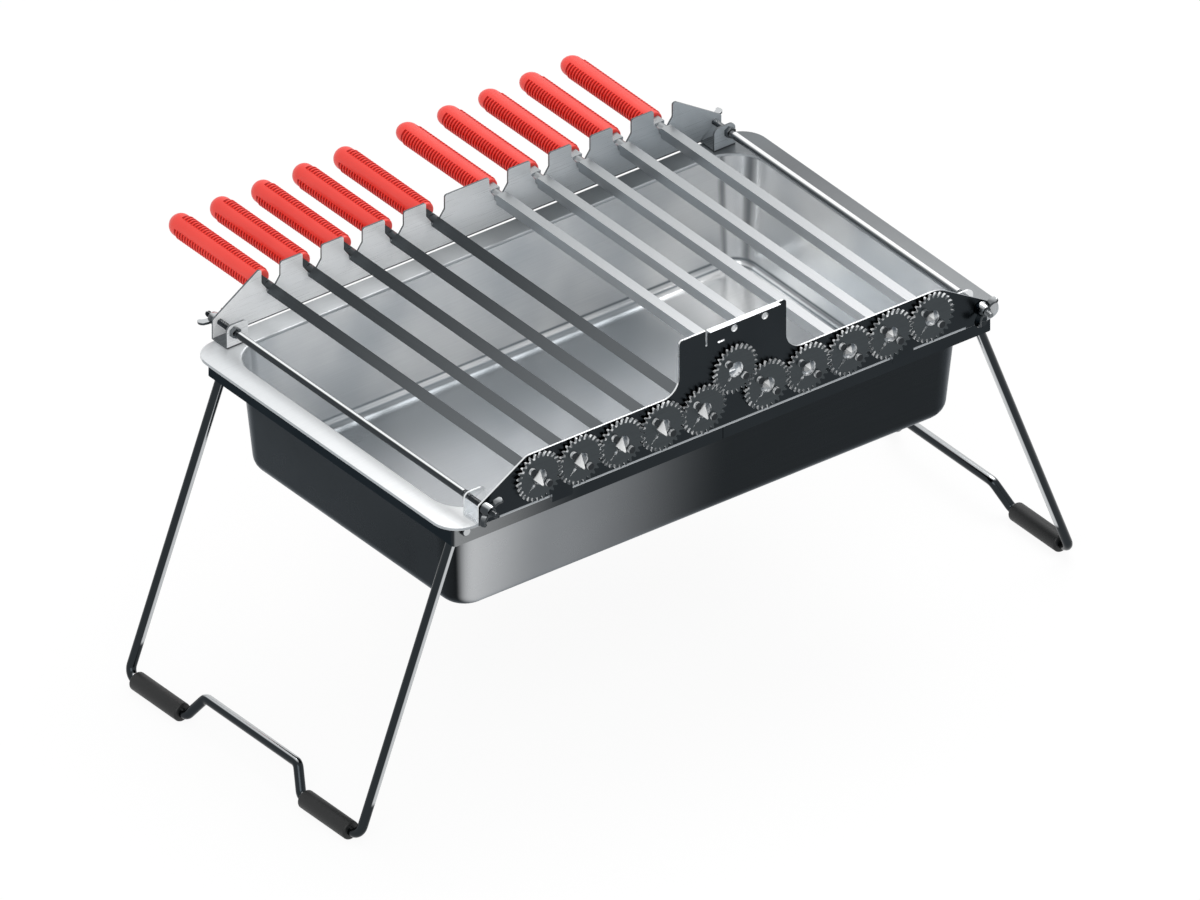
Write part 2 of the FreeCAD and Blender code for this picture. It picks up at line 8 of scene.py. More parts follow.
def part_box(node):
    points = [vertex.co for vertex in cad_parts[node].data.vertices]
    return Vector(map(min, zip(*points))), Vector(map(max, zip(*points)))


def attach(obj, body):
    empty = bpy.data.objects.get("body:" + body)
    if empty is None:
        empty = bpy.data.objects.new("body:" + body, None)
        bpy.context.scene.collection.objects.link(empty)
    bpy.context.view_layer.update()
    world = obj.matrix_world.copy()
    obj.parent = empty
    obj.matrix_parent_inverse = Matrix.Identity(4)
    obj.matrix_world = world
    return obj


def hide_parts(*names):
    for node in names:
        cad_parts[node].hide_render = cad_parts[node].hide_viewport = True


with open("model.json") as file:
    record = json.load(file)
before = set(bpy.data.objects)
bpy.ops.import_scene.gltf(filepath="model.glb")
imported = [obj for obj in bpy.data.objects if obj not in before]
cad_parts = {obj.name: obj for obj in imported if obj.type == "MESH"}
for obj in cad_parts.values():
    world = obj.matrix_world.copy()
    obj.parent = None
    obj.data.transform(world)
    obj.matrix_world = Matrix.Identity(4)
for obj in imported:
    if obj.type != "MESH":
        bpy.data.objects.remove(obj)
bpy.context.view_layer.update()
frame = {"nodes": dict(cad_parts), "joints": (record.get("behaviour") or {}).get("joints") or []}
mm = 0.001

# Places taken from the frame
panLow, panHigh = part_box("pan")
rimZ = panHigh.z
panMiddle = Vector(((panLow.x + panHigh.x) / 2, (panLow.y + panHigh.y) / 2, rimZ))
gearCount = 11
gearNumbers = range(1, gearCount + 1)
driveNumber = 6
skewerNumbers = [n for n in gearNumbers if n != driveNumber]
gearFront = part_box("gear_1")[0].y


def axisOf(number):
    low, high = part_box("hub_%d" % number)
    return (low.x + high.x) / 2, (low.z + high.z) / 2


def bodyOf(number):
    return "drive_gear" if number == driveNumber else "skewer_%d" % number


# Colours and nodes
def toLinear(hexColour):
    channels = [int(hexColour[i:i + 2], 16) / 255 for i in (1, 3, 5)]
    return [c / 12.92 if c <= 0.04045 else ((c + 0.055) / 1.055) ** 2.4 for c in channels] + [1.0]


# links maps a node's input names or numbers to output sockets or values
def addNode(tree, kind, settings=None, links=None):
    node = tree.nodes.new(kind)
    for key, value in (settings or {}).items():
        setattr(node, key, value)
    for key, value in (links or {}).items():
        if isinstance(value, bpy.types.NodeSocket):
            tree.links.new(value, node.inputs[key])
        else:
            node.inputs[key].default_value = value
    return node


def startMaterial(name, colour, metallic, roughness):
    material = bpy.data.materials.new(name)
    material.use_nodes = True
    tree = material.node_tree
    shader = tree.nodes["Principled BSDF"]
    shader.inputs["Base Color"].default_value = toLinear(colour)
    shader.inputs["Metallic"].default_value = metallic
    shader.inputs["Roughness"].default_value = roughness
    coords = addNode(tree, "ShaderNodeTexCoord")
    return material, tree, shader, coords


def linkShader(tree, shader, values):
    for name, value in values.items():
        tree.links.new(value, shader.inputs[name])


# Each colour is hex text or another node's output
def mixColours(tree, amount, first, second):
    ends = [toLinear(c) if isinstance(c, str) else c for c in (first, second)]
    return addNode(tree, "ShaderNodeMix", {"data_type": "RGBA"}, {
        0: amount, 6: ends[0], 7: ends[1]}).outputs[2]


def mixValues(tree, amount, first, second):
    return addNode(tree, "ShaderNodeMix", {}, {0: amount, 2: first, 3: second}).outputs[0]


def mathOf(tree, operation, first, second=0.0):
    return addNode(tree, "ShaderNodeMath", {"operation": operation}, {
        0: first, 1: second}).outputs[0]


def product(tree, first, second):
    return mathOf(tree, "MULTIPLY", first, second)


def rangeOf(tree, value, ends, results, kind="LINEAR"):
    return addNode(tree, "ShaderNodeMapRange", {"interpolation_type": kind}, {
        0: value, 1: ends[0], 2: ends[1], 3: results[0], 4: results[1]}).outputs[0]


# Rises from 0 to 1 between two values
def rising(tree, value, start, full):
    return rangeOf(tree, value, (start, full), (0.0, 1.0), "SMOOTHSTEP")


# 1 at one value and 0 at a lower and a higher one
def ridge(tree, value, start, full, end):
    return product(tree, rising(tree, value, start, full), rising(tree, value, end, full))


# Turns a factor of 0 and 1 into two other values
def between(tree, factor, atZero, atOne):
    return rangeOf(tree, factor, (0.0, 1.0), (atZero, atOne))


# Stretches the middle of a noise, where most of it lies, over two values
def spread(tree, noise, low, high):
    return rangeOf(tree, noise, (0.3, 0.7), (low, high))


def partOf(tree, vector, axis):
    split = addNode(tree, "ShaderNodeSeparateXYZ", {}, {0: vector})
    return split.outputs["XYZ".index(axis)]


# Fine streaks lengthMm long and widthMm wide that run along one axis, as a factor from 0 to 1
def grainOf(tree, coords, lengthMm, widthMm, along):
    scales = [1000 / widthMm] * 3
    scales["XYZ".index(along)] = 1000 / lengthMm
    mapping = addNode(tree, "ShaderNodeMapping", {}, {0: coords.outputs["Object"]})
    mapping.inputs["Scale"].default_value = scales
    return addNode(tree, "ShaderNodeTexNoise", {}, {
        0: mapping.outputs[0], "Scale": 1.0, "Detail": 3.0}).outputs[0]


# Soft patches of one size, as a factor from 0 to 1
def cloudsOf(tree, coords, sizeMm, detail=2.0):
    return addNode(tree, "ShaderNodeTexNoise", {}, {
        0: coords.outputs["Object"], "Scale": 1000 / sizeMm, "Detail": detail}).outputs[0]


# How far a surface faces along an axis, as a factor that rises between two values of its normal
def facing(tree, coords, axis, start, full, bothWays=False):
    value = partOf(tree, coords.outputs["Normal"], axis)
    if bothWays:
        value = mathOf(tree, "ABSOLUTE", value)
    return rising(tree, value, start, full)


# A fade along an axis between two places in metres
def fading(tree, coords, axis, start, full):
    return rising(tree, partOf(tree, coords.outputs["Object"], axis), start, full)


def bumped(tree, shader, height, strength):
    bump = addNode(tree, "ShaderNodeBump", {}, {
        "Strength": strength, "Distance": 0.1 * mm, "Height": height})
    tree.links.new(bump.outputs[0], shader.inputs["Normal"])


# Meshes
def meshObject(name, vertices, faces, materials, smooth=True, faceMaterial=None):
    mesh = bpy.data.meshes.new(name)
    mesh.from_pydata([tuple(v) for v in vertices], [], faces)
    for material in materials:
        mesh.materials.append(material)
    if faceMaterial is not None:
        mesh.polygons.foreach_set("material_index", faceMaterial)
    mesh.validate()
    item = bpy.data.objects.new(name, mesh)
    bpy.context.scene.collection.objects.link(item)
    if smooth:
        mesh.polygons.foreach_set("use_smooth", [True] * len(mesh.polygons))
    return item


# Merges doubles, turns the faces outwards and keeps edges sharp above an angle
def cleanMesh(item, sharpDegrees, mergeMm=0.001):
    shape = bmesh.new()
    shape.from_mesh(item.data)
    bmesh.ops.remove_doubles(shape, verts=shape.verts, dist=mergeMm * mm)
    bmesh.ops.recalc_face_normals(shape, faces=shape.faces)
    limit = math.radians(sharpDegrees)
    for edge in shape.edges:
        if len(edge.link_faces) == 2:
            edge.smooth = edge.calc_face_angle() < limit
    shape.to_mesh(item.data)
    shape.free()
    return item


def placed(item, matrix):
    item.data.transform(matrix)
    return item


# Four-sided faces between closed loops of count points each, numbered from start
def sideFaces(loops, count, start=0):
    faces = []
    for r in range(loops - 1):
        here = start + r * count
        there = here + count
        for k in range(count):
            after = (k + 1) % count
            faces.append((here + k, here + after, there + after, there + k))
    return faces


# The faces that close the first and the last of such loops
def endFaces(loops, count, start=0):
    last = start + (loops - 1) * count
    return [tuple(range(start, start + count)), tuple(range(last, last + count))]


# Turns a profile of (radius, distance) in mm about the Y axis, with a flat face at each end
# if it is closed
def turnedProfile(name, profile, segments, materials, sharpDegrees=35, closed=True):
    vertices = []
    for radius, distance in profile:
        for k in range(segments):
            angle = 2 * math.pi * k / segments
            vertices.append((
                radius * mm * math.cos(angle), distance * mm, radius * mm * math.sin(angle)))
    faces = sideFaces(len(profile), segments)
    if closed:
        faces += endFaces(len(profile), segments)
    return cleanMesh(meshObject(name, vertices, faces, materials), sharpDegrees)


def arcPoints(middle, radius, fromDegrees, toDegrees, steps):
    points = []
    for k in range(steps + 1):
        angle = math.radians(fromDegrees + (toDegrees - fromDegrees) * k / steps)
        points.append((
            middle[0] + radius * math.cos(angle), middle[1] + radius * math.sin(angle)))
    return points


# Joins meshes into the first object
def joinInto(first, others):
    shape = bmesh.new()
    for item in [first] + others:
        start = len(shape.faces)
        slots = [first.data.materials.find(m.name) for m in item.data.materials]
        shape.from_mesh(item.data)
        shape.faces.ensure_lookup_table()
        for face in shape.faces[start:]:
            face.material_index = max(0, slots[face.material_index]) if slots else 0
    shape.to_mesh(first.data)
    shape.free()
    for item in others:
        bpy.data.objects.remove(item)
    return first


def copyOf(item, name, matrix):
    other = item.copy()
    other.data = item.data.copy()
    other.name = name
    other.data.name = name
    bpy.context.scene.collection.objects.link(other)
    return placed(other, matrix)


# Geometry Nodes: one shape repeated along a line
def repeatTree():
    tree = bpy.data.node_groups.new("repeatAlongLine", "GeometryNodeTree")
    face = tree.interface
    for name, kind in (
            ("Geometry", "NodeSocketGeometry"), ("Count", "NodeSocketInt"),
            ("Spacing", "NodeSocketVector"), ("Material", "NodeSocketMaterial")):
        face.new_socket(name, in_out="INPUT", socket_type=kind)
    face.new_socket("Geometry", in_out="OUTPUT", socket_type="NodeSocketGeometry")
    inputs = addNode(tree, "NodeGroupInput")
    line = addNode(tree, "GeometryNodeMeshLine", {"mode": "OFFSET"}, {
        "Count": inputs.outputs["Count"], "Offset": inputs.outputs["Spacing"]})
    stamp = addNode(tree, "GeometryNodeInstanceOnPoints", {}, {
        "Points": line.outputs[0], "Instance": inputs.outputs["Geometry"]})
    solid = addNode(tree, "GeometryNodeRealizeInstances", {}, {0: stamp.outputs[0]})
    painted = addNode(tree, "GeometryNodeSetMaterial", {}, {
        "Geometry": solid.outputs[0], "Material": inputs.outputs["Material"]})
    addNode(tree, "NodeGroupOutput", {}, {0: painted.outputs[0]})
    return tree


# Runs the tree on an object and leaves a plain mesh with no modifier
def repeated(item, count, spacing, material):
    modifier = item.modifiers.new("repeat", "NODES")
    modifier.node_group = bpy.data.node_groups.get("repeatAlongLine") or repeatTree()
    values = {"Count": count, "Spacing": spacing, "Material": material}
    for socket in modifier.node_group.interface.items_tree:
        if socket.in_out == "INPUT" and socket.name in values:
            modifier[socket.identifier] = values[socket.name]
    item.update_tag()
    bpy.context.view_layer.update()
    graph = bpy.context.evaluated_depsgraph_get()
    mesh = bpy.data.meshes.new_from_object(item.evaluated_get(graph))
    item.modifiers.remove(modifier)
    old = item.data
    item.data = mesh
    bpy.data.meshes.remove(old)
    return item


# Finishes. In their dictionaries "grain" is the length and width of streaks in mm, "clouds" and
# "grit" are sizes in mm and "satin" is the roughness at both ends. Other pairs say where a tone
# starts and where it is full: places in metres or parts of the surface's normal.

# Satin stainless inside the pan
panTones = {
    "grain": (60.0, 0.4), "clouds": 90.0, "cloudy": (0.3, 0.65),
    "near": (panMiddle.y + 0.11, panMiddle.y - 0.02), "left": (0.02, -0.2), "leftLightShare": 0.6,
    "highlightX": (0.12, 0.2), "highlightY": (panMiddle.y, panMiddle.y + 0.09), "wall": (0.8, 0.35),
    "streaks": ((-0.97, -0.88, -0.72), (-0.42, -0.28, -0.1)), "cornerReflectionShare": 0.68,
    "reflectionLines": ((0.18, 0.3, 0.42), (0.58, 0.68, 0.78)), "reflectionLinesZ": (rimZ - 0.06, rimZ - 0.07),
    "top": (-0.1, 0.3), "topZ": (rimZ - 0.0025, rimZ - 0.0012), "right": (-0.12, 0.24),
    "back": (panMiddle.y + 0.1, panMiddle.y + 0.15), "backShare": 0.9,
    "forward": (panMiddle.y + 0.13, panMiddle.y - 0.13),
    "rolled": (0.97, 0.8), "rolledZ": (rimZ - 0.0022, rimZ - 0.0016),
    "inward": (panMiddle.y + 0.149, panMiddle.y + 0.147), "grainShare": 0.1,
    "floorMetal": 0.7, "wallMetal": 0.6, "rimMetal": 0.35, "satin": (0.16, 0.24), "rimDull": 1.7,
    "bump": 0.01,
}


# The floor is painted darker towards the back as painted shade, paler at the left as painted
# light and with a painted highlight in the far right corner
def floorPaintedLight(tree, coords, p):
    near = fading(tree, coords, "Y", *p["near"])
    colour = mixColours(tree, near, "#8A8F93", "#CED1D4")
    left = product(tree, near, fading(tree, coords, "X", *p["left"]))
    colour = mixColours(tree, between(tree, left, 0.0, p["leftLightShare"]), colour, "#DADCDE")
    # Painted highlight in the far right corner of the floor
    glow = product(
        tree, fading(tree, coords, "X", *p["highlightX"]), fading(tree, coords, "Y", *p["highlightY"]))
    return mixColours(tree, glow, colour, "#FCFDFD")


# The walls are painted paler than the floor as painted light, and cloudy, with upright streaks of
# painted dark reflection in the two corners on the right
def wallCloudsAndPaintedReflections(tree, coords, clouds, p):
    colour = mixColours(tree, rising(tree, clouds, *p["cloudy"]), "#D9DDE0", "#FEFEFE")
    bend = partOf(tree, coords.outputs["Normal"], "X")
    for places in p["streaks"]:
        amount = between(tree, ridge(tree, bend, *places), 0.0, p["cornerReflectionShare"])
        # Painted dark reflection streaks in the right corners
        colour = mixColours(tree, amount, colour, "#60666B")
    return colour


# Two lines of painted dark reflection run round the fillet between the walls and the floor
def filletReflectionLines(tree, coords, colour, p):
    lean = partOf(tree, coords.outputs["Normal"], "Z")
    low = fading(tree, coords, "Z", *p["reflectionLinesZ"])
    for places in p["reflectionLines"]:
        line = product(tree, ridge(tree, lean, *places), low)
        colour = mixColours(tree, line, colour, "#7B8287")
    return colour


# The rim is painted darker towards the right and at the back, as painted shade
def rimPaintedShade(tree, coords, p):
    right = fading(tree, coords, "X", *p["right"])
    forward = fading(tree, coords, "Y", *p["forward"])
    colour = mixColours(
        tree, right, mixColours(tree, forward, "#D2D5D7", "#E6E8E9"),
        mixColours(tree, forward, "#54575A", "#808385"))
    back = fading(tree, coords, "Y", *p["back"])
    shade = product(tree, back, rangeOf(tree, right, (0.0, 0.5), (0.0, p["backShare"])))
    return mixColours(tree, shade, colour, "#5E6366")


def panInside(p):
    material, tree, shader, coords = startMaterial("satinStainlessPan", "#C9CDD0", 1.0, 0.2)
    streaks = grainOf(tree, coords, *p["grain"], "X")
    clouds = cloudsOf(tree, coords, p["clouds"])
    wall = facing(tree, coords, "Z", *p["wall"])
    top = product(
        tree, facing(tree, coords, "Z", *p["top"]), fading(tree, coords, "Z", *p["topZ"]))
    rolled = product(
        tree, facing(tree, coords, "Z", *p["rolled"]), fading(tree, coords, "Z", *p["rolledZ"]))
    rolled = product(tree, rolled, fading(tree, coords, "Y", *p["inward"]))
    colour = mixColours(
        tree, wall, floorPaintedLight(tree, coords, p), wallCloudsAndPaintedReflections(tree, coords, clouds, p))
    # Painted dark reflection lines round the floor fillet
    colour = filletReflectionLines(tree, coords, colour, p)
    colour = mixColours(tree, top, colour, rimPaintedShade(tree, coords, p))
    # The rolled shoulder at the inner edge of the rim is painted darker, as painted shade that
    # tones down its highlight
    colour = mixColours(tree, rolled, colour, "#9BA0A4")
    metal = between(tree, wall, p["floorMetal"], p["wallMetal"])
    satin = spread(tree, clouds, *p["satin"])
    linkShader(tree, shader, {
        "Base Color": mixColours(
            tree, spread(tree, streaks, 0.0, p["grainShare"]), colour, "#7E8488"),
        "Metallic": product(tree, metal, between(tree, top, 1.0, p["rimMetal"])),
        "Roughness": product(tree, satin, between(tree, top, 1.0, p["rimDull"]))})
    bumped(tree, shader, streaks, p["bump"])
    return material


# Outside of the pan: painted dark as painted shade, with two paler zones of painted light at the
# left of its front wall
outsideTones = {
    "grain": (60.0, 0.5), "clouds": 40.0, "front": (-0.6, -0.95), "near": (0.02, -0.16),
    "far": (-0.15, -0.24), "satin": (0.24, 0.34),
}


def panOutside(p):
    material, tree, shader, coords = startMaterial("paintedShadePanOutside", "#33373A", 1.0, 0.30)
    shader.inputs["Specular Tint"].default_value = toLinear("#D8DCE0")
    front = facing(tree, coords, "Y", *p["front"])
    near = product(tree, front, fading(tree, coords, "X", *p["near"]))
    far = product(tree, front, fading(tree, coords, "X", *p["far"]))
    streaks = grainOf(tree, coords, *p["grain"], "X")
    colour = mixColours(tree, streaks, "#1A1D1F", "#232628")
    # Painted light: two paler zones at the left of the front wall
    colour = mixColours(tree, near, colour, "#84878A")
    linkShader(tree, shader, {
        "Base Color": mixColours(tree, far, colour, "#BEC0C2"),
        "Roughness": spread(tree, cloudsOf(tree, coords, p["clouds"]), *p["satin"])})
    return material


# Sheet painted dark as painted shade where the mask says so, with pale brushed metal elsewhere
sheetTones = {
    "grain": (60.0, 0.5), "clouds": 50.0, "satin": (0.22, 0.30), "bandSides": (0.7, 0.3),
    "bandFront": (-0.6, -0.95), "bandLeft": (-0.13, -0.25), "bandShare": 0.7,
    "plateFront": (-0.5, -0.9), "plateY": (panMiddle.y - 0.158, panMiddle.y - 0.162),
}


def paintedShadeSheet(name, maskOf, pale, p):
    material, tree, shader, coords = startMaterial(name, "#33373A", 1.0, 0.28)
    shader.inputs["Specular Tint"].default_value = toLinear("#A0A4A8")
    clouds = cloudsOf(tree, coords, p["clouds"])
    dark = mixColours(tree, clouds, "#25292C", "#2F3336")
    paleFaces = mixColours(tree, grainOf(tree, coords, *p["grain"], "X"), "#D8DBDD", pale)
    linkShader(tree, shader, {
        "Base Color": mixColours(tree, maskOf(tree, coords, p), paleFaces, dark),
        "Roughness": spread(tree, clouds, *p["satin"])})
    return material


# The band is painted dark all round as painted shade, apart from its cut edges, and a little
# paler at its left front end as painted light
def bandShadeMask(tree, coords, p):
    sides = facing(tree, coords, "Z", *p["bandSides"], bothWays=True)
    end = product(
        tree, facing(tree, coords, "Y", *p["bandFront"]),
        fading(tree, coords, "X", *p["bandLeft"]))
    return product(tree, sides, between(tree, end, 1.0, p["bandShare"]))


# Only the outer face of the gear plate is painted dark, as painted shade
def plateShadeMask(tree, coords, p):
    outer = fading(tree, coords, "Y", *p["plateY"])
    return product(tree, facing(tree, coords, "Y", *p["plateFront"]), outer)


# Comb plate: pale brushed sheet, painted darker towards its right end as painted shade, with dark
# cut edges and a painted shadow line along the bottom of its front face
combTones = {
    "grain": (60.0, 0.4), "clouds": 45.0, "end": (-0.1, 0.2), "cut": (0.5, 0.2),
    "contactShadow": (rimZ + 0.0016, rimZ + 0.001), "front": (-0.5, -0.9), "grainShare": 0.12,
    "satin": (0.26, 0.34), "bump": 0.02,
}


def combSteel(p):
    material, tree, shader, coords = startMaterial("brushedCombSheet", "#DFE2E4", 0.3, 0.3)
    streaks = grainOf(tree, coords, *p["grain"], "X")
    clouds = cloudsOf(tree, coords, p["clouds"])
    # Painted shade: darker towards the right end
    colour = mixColours(
        tree, fading(tree, coords, "X", *p["end"]),
        mixColours(tree, clouds, "#F8FAFB", "#FEFEFE"),
        mixColours(tree, clouds, "#A3ABB1", "#BEC5CA"))
    cut = facing(tree, coords, "Y", *p["cut"], bothWays=True)
    colour = mixColours(tree, cut, colour, "#4E5356")
    # Painted shadow line along the bottom of the front face, where it meets the rim
    contactShadow = product(
        tree, fading(tree, coords, "Z", *p["contactShadow"]), facing(tree, coords, "Y", *p["front"]))
    colour = mixColours(tree, contactShadow, colour, "#33373A")
    linkShader(tree, shader, {
        "Base Color": mixColours(
            tree, spread(tree, streaks, 0.0, p["grainShare"]), colour, "#8F959A"),
        "Roughness": spread(tree, streaks, *p["satin"])})
    bumped(tree, shader, streaks, p["bump"])
    return material


# Folded strip of a skewer: its upper face and its side painted in different tones and each
# lighter towards the gears, all as painted light, with a painted highlight on its point and
# painted shade on the point's sides
bladeTones = {
    "grain": (80.0, 0.35), "ahead": (panMiddle.y + 0.13, panMiddle.y - 0.15),
    "point": (gearFront + 0.001, gearFront - 0.001), "pointUp": (-0.2, 0.2), "metal": 0.85,
    "pointMetal": 0.1, "grainShare": 0.12, "satin": (0.30, 0.38), "bump": 0.02,
}
# One steel for both groups of skewers: a lit copy for the right group and a shaded copy for the
# left
rightTones = {
    "rearTop": "#939698", "frontTop": "#B6B8BA", "rearSide": "#A9AEB2", "frontSide": "#D6D8DA",
    "up": (0.5, 0.85),
}
leftTones = {
    "rearTop": "#34383B", "frontTop": "#65696C", "rearSide": "#8E9296", "frontSide": "#C4C7C9",
    "up": (0.1, 0.4),
}


def bladeSteel(name, side, p):
    material, tree, shader, coords = startMaterial(name, side["frontTop"], p["metal"], 0.34)
    streaks = grainOf(tree, coords, *p["grain"], "Y")
    ahead = fading(tree, coords, "Y", *p["ahead"])
    colour = mixColours(
        tree, facing(tree, coords, "Z", *side["up"]),
        mixColours(tree, ahead, side["rearSide"], side["frontSide"]),
        mixColours(tree, ahead, side["rearTop"], side["frontTop"]))
    point = fading(tree, coords, "Y", *p["point"])
    pointHighlight = mixColours(tree, facing(tree, coords, "Z", *p["pointUp"]), "#4A4E51", "#FAFBFB")
    colour = mixColours(tree, point, colour, pointHighlight)
    linkShader(tree, shader, {
        "Base Color": mixColours(
            tree, spread(tree, streaks, 0.0, p["grainShare"]), colour, "#5E6366"),
        "Metallic": between(tree, point, p["metal"], p["pointMetal"]),
        "Roughness": spread(tree, streaks, *p["satin"])})
    bumped(tree, shader, streaks, p["bump"])
    return material


# Stamped gear: its flat faces painted dark as painted shade, its sheared tooth flanks pale and
# patchy, partly the sheared metal's own look and partly a painted highlight
gearTones = {
    "grain": (20.0, 0.5), "clouds": 3.0, "flat": (0.3, 0.7), "patches": (0.35, 0.6),
    "flankMetal": 0.25, "flatMetal": 0.95, "flankRough": 0.30, "flatRough": 0.38,
}


def gearSteel(name, darkFace, paleFace, p):
    material, tree, shader, coords = startMaterial(name, paleFace, 1.0, 0.35)
    flat = facing(tree, coords, "Y", *p["flat"], bothWays=True)
    patches = rising(tree, cloudsOf(tree, coords, p["clouds"], 3.0), *p["patches"])
    flank = mixColours(tree, patches, "#6E7377", "#F6F8F9")
    face = mixColours(tree, grainOf(tree, coords, *p["grain"], "X"), darkFace, paleFace)
    linkShader(tree, shader, {
        "Base Color": mixColours(tree, flat, flank, face),
        "Metallic": between(tree, flat, p["flankMetal"], p["flatMetal"]),
        "Roughness": between(tree, flat, p["flankRough"], p["flatRough"])})
    return material


# Bright metal: a painted highlight where it faces up and painted shade below
polishTones = {"clouds": 12.0, "satin": (0.11, 0.18)}


def polishedSteel(name, up, pale, dark, metallic, p):
    material, tree, shader, coords = startMaterial(name, pale, metallic, 0.14)
    linkShader(tree, shader, {
        "Base Color": mixColours(tree, facing(tree, coords, "Z", *up), dark, pale),
        "Roughness": spread(tree, cloudsOf(tree, coords, p["clouds"]), *p["satin"])})
    return material


# Polished wire: painted dark as painted shade, with one painted highlight line along each leg and
# along the top of the foot bars
wireTones = {
    "leftStart": (-0.38, -0.2), "leftEnd": (0.52, 0.36), "rightHighlight": (-0.62, -0.76),
    "barHighlight": (0.8, 0.93), "side": (-0.01, 0.01), "barZ": (0.036, 0.032), "clouds": 12.0,
    "satin": (0.13, 0.19),
}


def polishedWire(p):
    material, tree, shader, coords = startMaterial("polishedLegRod", "#B9BCBE", 1.0, 0.16)
    across = partOf(tree, coords.outputs["Normal"], "X")
    leftHighlight = product(
        tree, rising(tree, across, *p["leftStart"]), rising(tree, across, *p["leftEnd"]))
    rightHighlight = rising(tree, across, *p["rightHighlight"])
    barHighlight = facing(tree, coords, "Z", *p["barHighlight"])
    line = mixValues(tree, fading(tree, coords, "X", *p["side"]), leftHighlight, rightHighlight)
    line = mixValues(tree, fading(tree, coords, "Z", *p["barZ"]), line, barHighlight)
    linkShader(tree, shader, {
        "Base Color": mixColours(tree, line, "#2C3033", "#BDC0C2"),
        "Roughness": spread(tree, cloudsOf(tree, coords, p["clouds"]), *p["satin"])})
    return material


# Hex nuts: dark plating over fine marks
nutTones = {
    "pale": "#777B7E", "dark": "#5D6164", "grain": (80.0, 0.35), "clouds": 60.0,
    "shade": (0.12, 0.4), "satin": (0.18, 0.26), "bump": 0.02,
}


def nutPlating(p):
    material, tree, shader, coords = startMaterial("darkPlatedNut", p["pale"], 1.0, 0.22)
    streaks = grainOf(tree, coords, *p["grain"], "Y")
    blend = product(tree, streaks, cloudsOf(tree, coords, p["clouds"]))
    shade = rangeOf(tree, blend, p["shade"], (0.0, 1.0))
    linkShader(tree, shader, {
        "Base Color": mixColours(tree, shade, p["dark"], p["pale"]),
        "Roughness": spread(tree, streaks, *p["satin"])})
    bumped(tree, shader, streaks, p["bump"])
    return material


# Moulded polypropylene: saturated, slightly glossy, with a fine spark-eroded texture
plasticTones = {"ior": 1.49, "grit": 0.8, "clouds": 25.0, "satin": (0.30, 0.42), "bump": 0.06}


def redPolypropylene(name, first, second, gloss, p):
    material, tree, shader, coords = startMaterial(name, first, 0.0, 0.36)
    shader.inputs["IOR"].default_value = p["ior"]
    shader.inputs["Specular IOR Level"].default_value = gloss
    grit = cloudsOf(tree, coords, p["grit"])
    clouds = cloudsOf(tree, coords, p["clouds"], 1.0)
    linkShader(tree, shader, {
        "Base Color": mixColours(tree, clouds, first, second),
        "Roughness": spread(tree, grit, *p["satin"])})
    bumped(tree, shader, grit, p["bump"])
    return material


# Extruded rubber sleeve: near black, dull, with a faint bloom
rubberTones = {"gloss": 0.4, "grit": 0.6, "clouds": 18.0, "satin": (0.42, 0.56), "bump": 0.05}


def sleeveRubber(p):
    material, tree, shader, coords = startMaterial("extrudedBlackRubber", "#101213", 0.0, 0.5)
    shader.inputs["Specular IOR Level"].default_value = p["gloss"]
    grit = cloudsOf(tree, coords, p["grit"], 3.0)
    bloom = cloudsOf(tree, coords, p["clouds"])
    linkShader(tree, shader, {
        "Base Color": mixColours(tree, bloom, "#0B0D0E", "#131516"),
        "Roughness": spread(tree, grit, *p["satin"])})
    bumped(tree, shader, grit, p["bump"])
    return material


nutSteel = nutPlating(nutTones)
# Lit and shaded copies of one blade steel, for the right and the left group
rightBlade = bladeSteel("foldedStripLit", rightTones, bladeTones)
leftBlade = bladeSteel("foldedStripShaded", leftTones, bladeTones)
satinPan = panInside(panTones)
outsideSteel = panOutside(outsideTones)
# Band and gear plate: painted shade where their masks say so
bandSteel = paintedShadeSheet("paintedShadeBand", bandShadeMask, "#E4E6E7", sheetTones)
plateSteel = paintedShadeSheet("paintedShadeGearPlate", plateShadeMask, "#F2F3F4", sheetTones)
combSheet = combSteel(combTones)
stampedSteel = gearSteel("stampedGearSteel", "#383C3F", "#444A4D", gearTones)
# Pins: darker flat faces as painted shade
pinSteel = gearSteel("shadedPinSteel", "#26292C", "#303437", gearTones)
# The two tie rods are one steel, painted with a narrow highlight on the left rod and a wide one
# on the right
bushSteel, wingSteel, leftRodSteel, rightRodSteel = [
    polishedSteel(name, up, pale, dark, metallic, polishTones)
    for name, up, pale, dark, metallic in (
        ("zincPlatedBush", (-0.1, 0.5), "#E9ECEE", "#8A9198", 0.35),
        ("zincPlatedWingNut", (0.6, 0.95), "#C9CCCE", "#3E4245", 1.0),
        ("polishedTieRodLeft", (0.86, 0.95), "#F2F4F5", "#34383B", 1.0),
        ("polishedTieRodRight", (0.70, 0.92), "#F8F9FA", "#6E7275", 1.0))]
wireSteel = polishedWire(wireTones)
redPlastic = redPolypropylene(
    "mouldedRedPolypropylene", "#DC3227", "#E43E33", 0.6, plasticTones)
# Painted shade for the grip's core between the ribs
redGrooveShade = redPolypropylene("redPolypropyleneGrooveShade", "#9C0902", "#A80D05", 0.1, plasticTones)
blackRubber = sleeveRubber(rubberTones)
print("finishes made")


# Pan: one closed shell of rounded loops, with a rolled rim
panShape = {
    "rimCorner": 22.0, "wallCorner": 30.0, "rimFlat": 19.5, "sheet": 1.2, "lip": 2.0,
    "edgeRound": 1.0, "shoulder": 2.0, "underShoulder": 1.0, "depth": 98.0, "draft": 5.8,
    "floorFillet": 13.5, "floorCornerShare": 0.9, "rimCornerShare": 0.35, "leastCorner": 1.0,
    "cornerSteps": 14, "bendSteps": 7, "sharp": 40,
}


